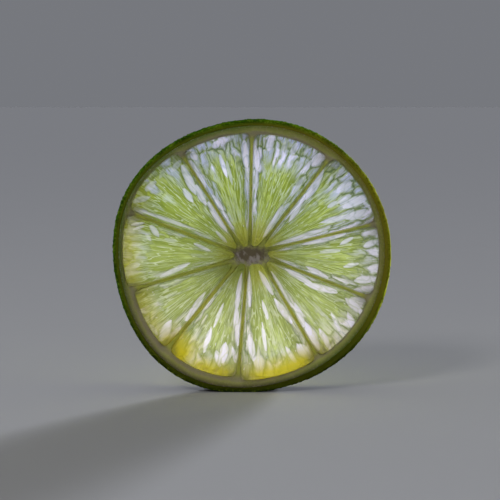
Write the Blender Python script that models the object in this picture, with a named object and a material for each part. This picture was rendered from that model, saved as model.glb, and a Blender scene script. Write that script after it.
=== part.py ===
# A round slice of lime that stands on its edge on a small flat spot.
# Metres, +Z up. The cut faces look along -Y and +Y, and the origin is under the middle of the slice.
# Angles are in degrees, anticlockwise from +X as seen from -Y, about the middle of the core.

import math
import random

import bmesh
import bpy
from mathutils import Matrix, Vector
from mathutils.geometry import tessellate_polygon

# The whole slice
RIM_RADIUS = 0.02577
THICKNESS = 0.006
CORE_HEIGHT = 0.02545
GAP = 0.0003
FRONT, BACK = -1, 1
# Unevenness of the rim: waves round it, depth, direction of a crest
RIM_WAVES = (
    (1, 0.00053, -72),
    (2, 0.00020, -2),
    (3, 0.00011, 13),
    (4, 0.00026, -32),
    (5, 0.00010, 14),
)
# The cut is oblique: the front rim is this much smaller than the back rim on its lower right
FRONT_STEP = 0.0011
FRONT_STEP_ANGLE = -42
FRONT_STEP_SHARPNESS = 3

# Peel
ZEST_THICKNESS = 0.0010
ZEST_EDGE = 0.00022
ZEST_BULGE = 0.00012
RIM_STEPS = 120
PITH_RECESS = 0.0001
PEEL_SMOOTH_ANGLE = 35

# Core and the membranes that run from it to the peel
CORE_HALF_WIDTH = 0.0034
CORE_HALF_HEIGHT = 0.0017
MEMBRANE_WIDTH = 0.00052
CORE_END_WIDTH = 0.0010
# For each segment, clockwise: where its first membrane meets the peel, where that membrane
# leaves the core, and how wide the pith is outside its pulp
SEGMENTS = (
    (89.8, 99, 0.0013),
    (51.2, 46, 0.0007),
    (14.5, 20, 0.0008),
    (-19.8, -11, 0.0011),
    (-57.0, -33, 0.0010),
    (-96.2, -114, 0.0016),
    (-131.8, -153, 0.00145),
    (-164.2, -166, 0.0005),
    (-199.7, -194, 0.0005),
    (-235.6, -217, 0.00105),
)
RIM_CORNER = 0.0024
CORE_CORNER = 0.0009
CORNER_STEPS = 4
LONGEST_CUT_BACK = 0.45
RIM_ARC_STEPS = 5

# Juice sacs, which fan out from the core end of their segment
SAC_SPACING = 0.00155
SAC_STRETCH = 2.2
FAN_RADIUS = 0.017
SAC_JITTER = 0.22
SAC_RELIEF = 0.0005
PULP_DEPTH = THICKNESS / 2 - SAC_RELIEF
SAC_LEAST_RELIEF = 0.5
SAC_RIDGE = 0.27
SAC_SMOOTH_ANGLE = 25
LEAST_SACS = 3
ROW_STEP = math.sqrt(3) / 2
WELD = 0.00004
SEED = 41


def clear_scene():
    for item in list(bpy.data.objects):
        bpy.data.objects.remove(item, do_unlink=True)


def material(name, colour, roughness):
    made = bpy.data.materials.new(name)
    made.use_nodes = True
    shader = made.node_tree.nodes["Principled BSDF"]
    shader.inputs["Base Color"].default_value = (*colour, 1)
    shader.inputs["Roughness"].default_value = roughness
    shader.inputs["Metallic"].default_value = 0
    made.diffuse_color = (*colour, 1)
    return made


def add_object(name, mesh_builder, surface, smooth_angle):
    bmesh.ops.recalc_face_normals(mesh_builder, faces=mesh_builder.faces)
    mesh = bpy.data.meshes.new(name)
    mesh_builder.to_mesh(mesh)
    mesh_builder.free()
    mesh.shade_smooth()
    mesh.set_sharp_from_angle(angle=math.radians(smooth_angle))
    mesh.materials.append(surface)
    made = bpy.data.objects.new(name, mesh)
    bpy.context.scene.collection.objects.link(made)
    return made


# Points of the cut plane are 2D vectors from the middle of the core
def polar(angle, radius):
    turn = math.radians(angle)
    return Vector((math.cos(turn), math.sin(turn))) * radius


def rim_radius(angle):
    waves = (depth * math.cos(math.radians(count * (angle - crest))) for count, depth, crest in RIM_WAVES)
    return RIM_RADIUS + sum(waves)


def front_step(angle):
    facing = max(0, math.cos(math.radians(angle - FRONT_STEP_ANGLE)))
    return FRONT_STEP * facing ** FRONT_STEP_SHARPNESS


def rim_angles():
    return [360 * step / RIM_STEPS for step in range(RIM_STEPS)]


def core_place():
    # The core's own place, with the middle of the rim's width over the origin
    across = [polar(angle, rim_radius(angle)).x for angle in rim_angles()]
    return -(max(across) + min(across)) / 2


CORE_X = core_place()


def place(point, y):
    # What would reach below the ground is pressed flat on it
    return Vector((point.x + CORE_X, y, max(0, point.y + CORE_HEIGHT)))


def rind_section(angle):
    # Radius and depth of the zest's section, from its inner front corner round to its inner back corner
    back = rim_radius(angle)
    front = back - front_step(angle)
    half = THICKNESS / 2
    return (
        (front - ZEST_THICKNESS, -half),
        (front - ZEST_EDGE, -half),
        (front, -half + ZEST_EDGE),
        ((front + back) / 2 + ZEST_BULGE, 0),
        (back, half - ZEST_EDGE),
        (back - ZEST_EDGE, half),
        (back - ZEST_THICKNESS, half),
    )


def make_rind(surface):
    build = bmesh.new()
    rings = []
    for angle in rim_angles():
        section = rind_section(angle)
        rings.append([build.verts.new(place(polar(angle, radius), depth)) for radius, depth in section])
    for ring, following in zip(rings, rings[1:] + rings[:1]):
        for spot in range(len(ring)):
            behind = spot - 1
            build.faces.new((ring[behind], ring[spot], following[spot], following[behind]))
    return add_object("rind", build, surface, PEEL_SMOOTH_ANGLE)


def pith_radius(angle, side):
    step = front_step(angle) if side == FRONT else 0
    return rim_radius(angle) - step - ZEST_THICKNESS - GAP


def pulp_radius(number, angle):
    return pith_radius(angle, FRONT) - SEGMENTS[number][2]


def core_point(angle):
    turn = math.radians(angle)
    reach = 1 / math.hypot(math.cos(turn) / CORE_HALF_WIDTH, math.sin(turn) / CORE_HALF_HEIGHT)
    return polar(angle, reach)


def sides(number, clear=0):
    # The two straight sides of a segment, moved in by clear: where they would meet, the direction
    # of each, and how far from the meeting point each starts
    first = SEGMENTS[number]
    last = SEGMENTS[(number + 1) % len(SEGMENTS)]
    starts, ways = [], []
    for (rim_angle, core_angle, _), side in ((first, -1), (last, 1)):
        inner = core_point(core_angle)
        along = (polar(rim_angle, pulp_radius(number, rim_angle)) - inner).normalized()
        starts.append(inner + Vector((-along.y, along.x)) * side * (MEMBRANE_WIDTH / 2 + clear))
        ways.append(along)
    between = starts[1] - starts[0]
    travel = between.cross(ways[1]) / ways[0].cross(ways[1])
    apex = starts[0] + ways[0] * travel
    least = CORE_END_WIDTH / 2 / math.sin(ways[0].angle(ways[1]) / 2)
    return apex, ways, [max(least, (start - apex).dot(way)) for start, way in zip(starts, ways)]


def rounded(points, reaches):
    # Cuts each corner back by its reach along both edges and joins the ends with a curve
    outline = []
    for number, point in enumerate(points):
        ahead = points[(number + 1) % len(points)] - point
        behind = points[number - 1] - point
        reach = reaches[number]
        if not reach:
            outline.append(point)
            continue
        start = point + behind.normalized() * min(reach, behind.length * LONGEST_CUT_BACK)
        end = point + ahead.normalized() * min(reach, ahead.length * LONGEST_CUT_BACK)
        for step in range(CORNER_STEPS + 1):
            share = step / CORNER_STEPS
            outline.append(start.lerp(point, share).lerp(point.lerp(end, share), share))
    return outline


def rim_crossing(start, way, radius):
    # How far from a point a straight line meets the circle round the core
    ahead = start.dot(way)
    return math.sqrt(ahead ** 2 - start.length_squared + radius ** 2) - ahead


def pocket(number):
    # Outline of a segment's pocket in the pith: core end, first wall, rim, last wall
    apex, ways, starts = sides(number)
    first_angle = SEGMENTS[number][0]
    sweep = (SEGMENTS[(number + 1) % len(SEGMENTS)][0] - first_angle) % -360
    angles = [first_angle + sweep * step / RIM_ARC_STEPS for step in range(RIM_ARC_STEPS + 1)]
    inner = [apex + way * start for way, start in zip(ways, starts)]
    reaches = [pulp_radius(number, angle) for angle in (angles[0], angles[-1])]
    outer = [apex + way * rim_crossing(apex, way, reach) for way, reach in zip(ways, reaches)]
    arc = [polar(angle, pulp_radius(number, angle)) for angle in angles[1:-1]]
    points = [inner[0], outer[0], *arc, outer[1], inner[1]]
    cuts = [CORE_CORNER, RIM_CORNER, *[0] * len(arc), RIM_CORNER, CORE_CORNER]
    return rounded(points, cuts)


def shrunk(outline, distance):
    # The same outline moved inwards; the points run clockwise
    moved = []
    for number, point in enumerate(outline):
        along = (outline[(number + 1) % len(outline)] - outline[number - 1]).normalized()
        moved.append(point + Vector((along.y, -along.x)) * distance)
    return moved


def wall_between(build, front, back):
    for number in range(len(front)):
        behind = number - 1
        build.faces.new((front[behind], front[number], back[number], back[behind]))


def make_pith(surface):
    build = bmesh.new()
    pockets = [pocket(number) for number in range(len(SEGMENTS))]
    depth = THICKNESS / 2 - PITH_RECESS
    faces = []
    for side in (FRONT, BACK):
        outer = [polar(angle, pith_radius(angle, side)) for angle in rim_angles()]
        loops = [outer, *pockets]
        corners = [[build.verts.new(place(point, side * depth)) for point in loop] for loop in loops]
        flat = [corner for loop in corners for corner in loop]
        for triangle in tessellate_polygon([[point.to_3d() for point in loop] for loop in loops]):
            build.faces.new([flat[number] for number in triangle])
        faces.append(corners)
    for front, back in zip(*faces):
        wall_between(build, front, back)
    return add_object("pith", build, surface, PEEL_SMOOTH_ANGLE)


def fan(number):
    # The point that a segment's sacs run towards, and the direction half way between its sides
    apex, ways, _ = sides(number, GAP)
    return apex, (ways[0] + ways[1]).normalized()


def to_fan(point, apex, axis):
    # Across the fan, and along it with the sacs' length squeezed to their width
    away = point - apex
    turn = math.atan2(axis.cross(away), axis.dot(away))
    return Vector((turn * FAN_RADIUS, away.length / SAC_STRETCH))


def from_fan(point, apex, axis):
    turned = axis.copy()
    turned.rotate(Matrix.Rotation(point.x / FAN_RADIUS, 2))
    return apex + turned * point.y * SAC_STRETCH


def sac_places(field, draw):
    # Staggered rows that start half a sac inside the rim
    left, right = min(p.x for p in field), max(p.x for p in field)
    low, high = min(p.y for p in field), max(p.y for p in field)
    across = max(LEAST_SACS, round((right - left) / SAC_SPACING))
    rows = max(LEAST_SACS, round((high - low) / (SAC_SPACING * ROW_STEP)))
    places = []
    for row in range(rows):
        count = across if row % 2 == 0 else across - 1
        for column in range(count):
            x = left + (right - left) * (column + 0.5) / count
            y = high - (high - low) * (row + 0.5) / rows
            jog = Vector((draw.uniform(-1, 1), draw.uniform(-1, 1))) * SAC_JITTER * SAC_SPACING
            places.append(Vector((x, y)) + jog)
    return places


def clipped(polygon, point, outward):
    # The part of a polygon behind the line through a point
    kept = []
    for corner, following in zip(polygon, polygon[1:] + polygon[:1]):
        here = (corner - point).dot(outward)
        there = (following - point).dot(outward)
        if here <= 0:
            kept.append(corner)
        if here * there < 0:
            kept.append(corner.lerp(following, here / (here - there)))
    return kept


def sac_cells(field, places):
    # Each sac has the part of the field that is nearer to its place than to any other
    cells = []
    for own in places:
        cell = list(field)
        for other in places:
            if other is not own and cell:
                cell = clipped(cell, (own + other) / 2, other - own)
        if len(cell) > 2:
            cells.append(cell)
    return cells


def welded(cells):
    # Gives corners that lie together one number
    points, numbered = [], []
    for cell in cells:
        numbers = []
        for corner in cell:
            match = next((n for n, point in enumerate(points) if (point - corner).length < WELD), None)
            if match is None:
                match = len(points)
                points.append(corner)
            if match not in numbers:
                numbers.append(match)
        if len(numbers) > 2:
            numbered.append(numbers)
    return points, numbered


def raise_sac(build, corners, cell, side, apex, draw):
    # A sac's ridge stands over its cell and points along the fan
    middle = sum(cell, Vector((0, 0))) / len(cell)
    along = (middle - apex).normalized()
    reach = [(point - middle).dot(along) for point in cell]
    half_ridge = along * (max(reach) - min(reach)) * SAC_RIDGE
    top = side * (PULP_DEPTH + SAC_RELIEF * draw.uniform(SAC_LEAST_RELIEF, 1))
    ends = [build.verts.new(place(point, top)) for point in (middle - half_ridge, middle + half_ridge)]
    nearest = [ends[distance > 0] for distance in reach]
    for number, corner in enumerate(corners):
        behind = number - 1
        build.faces.new((corners[behind], corner, nearest[number]))
        if nearest[behind] is not nearest[number]:
            build.faces.new((corners[behind], nearest[number], nearest[behind]))


def pulp_face(build, number, side, draw):
    # One cut face of a segment, all sacs
    outline = shrunk(pocket(number), GAP)
    apex, axis = fan(number)
    field = [to_fan(point, apex, axis) for point in outline]
    cells = sac_cells(field, sac_places(field, draw))
    points, numbered = welded([[from_fan(point, apex, axis) for point in cell] for cell in cells])
    corners = [build.verts.new(place(point, side * PULP_DEPTH)) for point in points]
    for numbers in numbered:
        cell = [points[n] for n in numbers]
        raise_sac(build, [corners[n] for n in numbers], cell, side, apex, draw)


def rim_round(build, side):
    # Each border corner of one cut face with its bearing from the segment's middle, in order
    rim = [corner for corner in build.verts if corner.is_boundary and corner.co.y * side > 0]
    middle = sum((corner.co for corner in rim), Vector()) / len(rim)
    bearings = [(math.atan2(v.co.z - middle.z, v.co.x - middle.x), v) for v in rim]
    return sorted(bearings, key=lambda pair: pair[0])


def join_faces(build):
    # The wall between the two cut faces, whose borders have different corners
    borders = [rim_round(build, side) for side in (FRONT, BACK)]
    for border in borders:
        bearing, corner = border[0]
        border.append((bearing + math.tau, corner))
        border.append((math.inf, None))
    at = [0, 0]
    waiting = [borders[0][1], borders[1][1]]
    while waiting[0][1] or waiting[1][1]:
        nearer = 0 if waiting[0][0] <= waiting[1][0] else 1
        build.faces.new((borders[0][at[0]][1], borders[1][at[1]][1], waiting[nearer][1]))
        at[nearer] += 1
        waiting[nearer] = borders[nearer][at[nearer] + 1]


def make_pulp(number, surface):
    draw = random.Random(SEED + number)
    build = bmesh.new()
    pulp_face(build, number, FRONT, draw)
    pulp_face(build, number, BACK, draw)
    join_faces(build)
    return add_object(f"pulp_{number + 1:02d}", build, surface, SAC_SMOOTH_ANGLE)


clear_scene()
zest_green = material("zest_green", (0.045, 0.11, 0.006), 0.42)
pith_pale = material("pith_pale", (0.36, 0.37, 0.20), 0.6)
juice_green = material("juice_green", (0.42, 0.56, 0.12), 0.25)
make_rind(zest_green)
make_pith(pith_pale)
for segment in range(len(SEGMENTS)):
    make_pulp(segment, juice_green)
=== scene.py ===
import math

import bpy
import numpy as np
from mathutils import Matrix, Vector
from mathutils.geometry import convex_hull_2d, delaunay_2d_cdt


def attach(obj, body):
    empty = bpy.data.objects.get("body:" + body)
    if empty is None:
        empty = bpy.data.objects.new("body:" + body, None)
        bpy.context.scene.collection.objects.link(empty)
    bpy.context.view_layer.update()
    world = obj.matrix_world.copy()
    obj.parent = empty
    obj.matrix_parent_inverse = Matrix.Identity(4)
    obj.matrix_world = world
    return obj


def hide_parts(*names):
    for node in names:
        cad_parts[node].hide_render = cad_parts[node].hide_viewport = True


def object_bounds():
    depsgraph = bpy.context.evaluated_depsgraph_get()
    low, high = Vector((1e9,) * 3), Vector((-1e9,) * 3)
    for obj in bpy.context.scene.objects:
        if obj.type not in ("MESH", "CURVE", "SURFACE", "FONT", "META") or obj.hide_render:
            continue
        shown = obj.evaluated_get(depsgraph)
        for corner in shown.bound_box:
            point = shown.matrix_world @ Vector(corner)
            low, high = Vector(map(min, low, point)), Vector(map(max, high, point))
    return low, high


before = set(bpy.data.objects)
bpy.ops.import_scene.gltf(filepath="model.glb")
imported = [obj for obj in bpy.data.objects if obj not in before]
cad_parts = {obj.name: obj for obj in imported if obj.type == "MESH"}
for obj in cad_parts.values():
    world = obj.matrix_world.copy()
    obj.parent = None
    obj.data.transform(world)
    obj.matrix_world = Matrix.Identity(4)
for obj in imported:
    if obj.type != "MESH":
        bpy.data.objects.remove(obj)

mm = 0.001
sliceRadius = 26 * mm                  # for the colours that change across the slice
firstBox = [list(corner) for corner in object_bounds()]
print("frame loaded:", len(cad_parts), "nodes")


# Node trees

class Wire:
    # One output of a node. Sums and products on it add Math nodes.
    def __init__(self, net, socket):
        self.net = net
        self.socket = socket

    def math(self, operation, first, second):
        return self.net.node("ShaderNodeMath", {"operation": operation}, {0: first, 1: second})

    def __add__(self, other):
        return self.math("ADD", self, other)

    def __sub__(self, other):
        return self.math("SUBTRACT", self, other)

    def __rsub__(self, other):
        return self.math("SUBTRACT", other, self)

    def __mul__(self, other):
        return self.math("MULTIPLY", self, other)

    def __truediv__(self, other):
        return self.math("DIVIDE", self, other)

    def __rtruediv__(self, other):
        return self.math("DIVIDE", other, self)

    def __pow__(self, other):
        return self.math("POWER", self, other)

    __radd__ = __add__
    __rmul__ = __mul__


class Net:
    # The node tree of a material or of a modifier
    def __init__(self, tree):
        self.tree = tree

    def node(self, kind, settings=None, values=None, out=0):
        made = self.tree.nodes.new(kind)
        for name, value in (settings or {}).items():
            setattr(made, name, value)
        for name, value in (values or {}).items():
            if isinstance(value, Wire):
                self.tree.links.new(value.socket, made.inputs[name])
            else:
                made.inputs[name].default_value = value
        if isinstance(out, tuple):
            return [Wire(self, made.outputs[name]) for name in out]
        return Wire(self, made.outputs[out]) if made.outputs else made

    def smooth(self, value, low, high):
        # 0 up to low, 1 from high on
        limits = {"Value": value, "From Min": low, "From Max": high}
        return self.node("ShaderNodeMapRange", {"interpolation_type": "SMOOTHSTEP"}, limits)

    def most(self, first, second):
        return self.node("ShaderNodeMath", {"operation": "MAXIMUM"}, {0: first, 1: second})

    def blend(self, share, first, second):
        # colours, or any mix of them
        return self.node("ShaderNodeMix", {"data_type": "RGBA"}, {0: share, 6: first, 7: second}, 2)

    def point(self, x, y, z=0.0):
        return self.node("ShaderNodeCombineXYZ", values={0: x, 1: y, 2: z})

    def parts(self, vector):
        return self.node("ShaderNodeSeparateXYZ", values={0: vector}, out=(0, 1, 2))

    def scaled(self, vector, size):
        return self.node("ShaderNodeVectorMath", {"operation": "SCALE"}, {0: vector, "Scale": size})

    def noise(self, vector, scale, detail=2.0, roughness=0.5):
        values = {"Vector": vector, "Scale": scale, "Detail": detail, "Roughness": roughness}
        return self.node("ShaderNodeTexNoise", values=values)

    def cells(self, vector, feature, out, dimensions="2D", randomness=0.88):
        settings = {"feature": feature, "voronoi_dimensions": dimensions}
        return self.node("ShaderNodeTexVoronoi", settings, {"Vector": vector, "Scale": 1.0,
                                                            "Randomness": randomness}, out)


def colour(code):
    # sRGB hex to the linear colour that the nodes take
    parts = [int(code[at:at + 2], 16) / 255 for at in (0, 2, 4)]
    linear = [part / 12.92 if part <= 0.04045 else ((part + 0.055) / 1.055) ** 2.4 for part in parts]
    return (*linear, 1.0)


def newMaterial(name):
    made = bpy.data.materials.new(name)
    made.use_nodes = True
    made.node_tree.nodes.clear()
    return made, Net(made.node_tree)


def finishMaterial(net, shader):
    net.node("ShaderNodeOutputMaterial", values={"Surface": shader})


def newTree(name, sizes):
    # a modifier's tree with a geometry socket and one named number for each size
    tree = bpy.data.node_groups.new(name, "GeometryNodeTree")
    tree.interface.new_socket("Geometry", in_out="INPUT", socket_type="NodeSocketGeometry")
    for label, value in sizes.items():
        kind = "NodeSocketInt" if isinstance(value, int) else "NodeSocketFloat"
        tree.interface.new_socket(label, in_out="INPUT", socket_type=kind)
    tree.interface.new_socket("Geometry", in_out="OUTPUT", socket_type="NodeSocketGeometry")
    net = Net(tree)
    outs = net.node("NodeGroupInput", out=("Geometry", *sizes))
    return tree, net, outs


def closeTree(net, geometry, surface):
    real = net.node("GeometryNodeRealizeInstances", values={0: geometry})
    dressed = net.node("GeometryNodeSetMaterial", values={0: real, "Material": surface})
    net.node("NodeGroupOutput", values={0: dressed})


def grown(name, mesh, tree, sizes, slot, *nodes):
    # runs the tree on the mesh and keeps the result as a plain piece that stands for the nodes
    draft = bpy.data.objects.new(name + "Draft", mesh)
    bpy.context.scene.collection.objects.link(draft)
    modifier = draft.modifiers.new("Grow", "NODES")
    modifier.node_group = tree
    for item in tree.interface.items_tree:
        if item.in_out == "INPUT" and item.name in sizes:
            modifier[item.identifier] = sizes[item.name]
    bpy.context.view_layer.update()
    graph = bpy.context.evaluated_depsgraph_get()
    made = bpy.data.meshes.new_from_object(draft.evaluated_get(graph), preserve_all_data_layers=True,
                                           depsgraph=graph)
    draft.modifiers.clear()
    bpy.data.objects.remove(draft)
    piece = bpy.data.objects.new(name, made)
    bpy.context.scene.collection.objects.link(piece)
    made.shade_smooth()
    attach(piece, "root")
    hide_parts(*nodes)
    return piece


# Outlines on the cut face, read from the frame's nodes: x to the right, y up

def nodePoints(node):
    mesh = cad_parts[node].data
    flat = np.empty(len(mesh.vertices) * 3)
    mesh.vertices.foreach_get("co", flat)
    return flat.reshape(-1, 3)


def straightened(outline, slack):
    # drops the points that lie on the line between their neighbours
    kept = list(outline)
    number = 0
    while number < len(kept):
        before, here, after = kept[number - 1], kept[number], kept[(number + 1) % len(kept)]
        along = (after - before).normalized()
        if abs(along.cross(here - before)) < slack:
            kept.pop(number)
        else:
            number += 1
    return kept


def wedgeOutline(node):
    points = [Vector(pair) for pair in sorted({(round(x, 6), round(z, 6)) for x, _, z in nodePoints(node)})]
    hull = [points[number] for number in convex_hull_2d(points)]
    area = sum(one.cross(two) for one, two in zip(hull, hull[1:] + hull[:1]))
    return straightened(hull if area > 0 else hull[::-1], 0.004 * mm)


def widened(outline, reach):
    # an anticlockwise outline moved outwards
    moved = []
    for number, here in enumerate(outline):
        before = (here - outline[number - 1]).normalized()
        after = (outline[(number + 1) % len(outline)] - here).normalized()
        out = Vector((before.y + after.y, -before.x - after.x)).normalized()
        moved.append(here + out * reach / max(0.5, out.dot(Vector((before.y, -before.x)))))
    return moved


def spaced(outline, step):
    # the same outline with a point every step or so
    points = []
    for here, after in zip(outline, outline[1:] + outline[:1]):
        count = max(1, round((after - here).length / step))
        points += [here.lerp(after, share / count) for share in range(count)]
    return points


def edgesOf(outline):
    here = np.array(outline)
    along = np.roll(here, -1, axis=0) - here
    along /= np.linalg.norm(along, axis=1)[:, None]
    out = np.stack((along[:, 1], -along[:, 0]), axis=1)
    return out, (out * here).sum(axis=1)


def depthInside(points, outline):
    # how far each point is inside a convex outline
    out, limit = edgesOf(outline)
    return (limit - points @ out.T).min(axis=1)


def fanOf(outline):
    # where the two long sides of a wedge would meet, and the half angle between them
    pairs = sorted(zip(outline, outline[1:] + outline[:1]), key=lambda pair: (pair[0] - pair[1]).length)
    (one, oneEnd), (two, twoEnd) = pairs[-2:]
    oneWay, twoWay = (oneEnd - one).normalized(), (twoEnd - two).normalized()
    apex = one + oneWay * ((two - one).cross(twoWay) / oneWay.cross(twoWay))
    ways = [((a + b) / 2 - apex).normalized() for a, b in ((one, oneEnd), (two, twoEnd))]
    axis = (ways[0] + ways[1]).normalized()
    return np.array(apex), np.array(axis), ways[0].angle(ways[1]) / 2


def scattered(low, high, step, jitter, seed):
    # a grid of staggered, slightly shaken points
    draw = np.random.default_rng(seed)
    columns = np.arange(low[0], high[0], step)
    rows = np.arange(low[1], high[1], step * math.sqrt(3) / 2)
    x, y = np.meshgrid(columns, rows)
    x[1::2] += step / 2
    return np.stack((x.ravel(), y.ravel()), axis=1) + draw.uniform(-jitter, jitter, (x.size, 2)) * step


def filled(loops, inner):
    # triangles between closed loops, with the inner points as corners too
    points, edges = [], []
    for loop in loops:
        first = len(points)
        points += loop
        edges += [(first + number, first + (number + 1) % len(loop)) for number in range(len(loop))]
    points += [Vector(point) for point in inner]
    flat, _, faces, *_ = delaunay_2d_cdt(points, edges, [], 1, 1e-7)
    return np.array(flat), [list(face) for face in faces]


def slab(name, loops, flat, faces, front, back):
    # two cut faces with walls between them along the loops; front and back are depths for each point
    count = len(flat)
    corners = np.concatenate((np.stack((flat[:, 0], front, flat[:, 1]), axis=1),
                              np.stack((flat[:, 0], back, flat[:, 1]), axis=1)))
    triangles = faces + [[corner + count for corner in face[::-1]] for face in faces]
    # the walls of the first loop point outwards, but those of a loop inside it point the wrong way
    first = 0
    for loop in loops:
        for number in range(len(loop)):
            here, after = first + number, first + (number + 1) % len(loop)
            triangles.append([after, here, here + count, after + count])
        first += len(loop)
    mesh = bpy.data.meshes.new(name)
    mesh.from_pydata(corners.tolist(), [], triangles)
    return mesh


def keep(mesh, name, values, kind="FLOAT"):
    # stores numbers or points on the corners of a mesh
    made = mesh.attributes.new(name, kind, "POINT")
    field = "value" if kind == "FLOAT" else "vector"
    made.data.foreach_set(field, np.asarray(values, dtype=np.float32).ravel())


pulpNodes = sorted(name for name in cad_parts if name.startswith("pulp"))
wedges = {name: wedgeOutline(name) for name in pulpNodes}
boxLow, boxHigh = [Vector(corner) for corner in firstBox]
middle = Vector(((boxLow.x + boxHigh.x) / 2, (boxLow.z + boxHigh.z) / 2))
tips = [min(outline, key=lambda point: (point - middle).length) for outline in wedges.values()]
core = sum(tips, Vector((0, 0))) / len(tips)
print("core middle at", [round(part / mm, 2) for part in core], "mm")


# Pulp: ten wedges of juice sacs

pulpLook = {
    "joint": 0.33 * mm,            # the wedge is this much wider than its node, to meet the membranes
    "step": 0.17 * mm,
    "borderDepth": 2.55 * mm,      # of the cut face, from the middle of the slice
    "sacWidth": 1.4,               # millimetres, at fanRadius from the point that the sacs run towards
    "sacLength": 6.0,
    "rimCrowding": 4.2,            # sacs are shorter within rimDepth of the peel
    "rimDepth": 2.4,
    "fanRadius": 17.0,
    "sacRelief": 0.30 * mm,
    "plumpRelief": 0.36 * mm,
    "streakRelief": 0.07 * mm,
    "greenDeep": "73891c",
    "greenPale": "a9bb55",
    "pale": "c6cbd4",
    "palePaintedWarm": "e9e6cc",
    # painted glow, the look of light shining through the sacs
    "paintedGlow": "f4f4fc",
    "outline": "4c7048",
    "amber": "d0c024",
    "corner": "8c8c50",            # where the wedge runs into the pith
    "lightDeep": "899a38",         # of the light that comes through the front
    "lightGreen": "b8c76e",
    "lightCool": "c2c9f0",
    "lightWarm": "f2e9b8",
    "lightBright": "faf2ff",
    "lightAmber": "dece30",
    "lightBack": "f4f2ee",         # of the light that comes in at the back
    "clear": 0.84,                 # share of the light that comes through and isn't sent back
    "clearBack": 0.72,
    "paleDepth": 9.5,              # millimetres in from the peel to where the pale sacs end
    "fringeDepth": 1.5,            # millimetres of darker juice next to the pith
    "paintedShadePlace": (-2.2, -2.6),     # millimetres from the core to the middle of the painted shade beside it
    "paintedShadeReach": 3.4,
    "paintedWarmHeight": 24.0,            # millimetres over which the painted warm light grows, from none high up to full low down
    "warp": 0.35,                  # how much the sacs' borders wander, in sacs
    "seed": 7,
}

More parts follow.
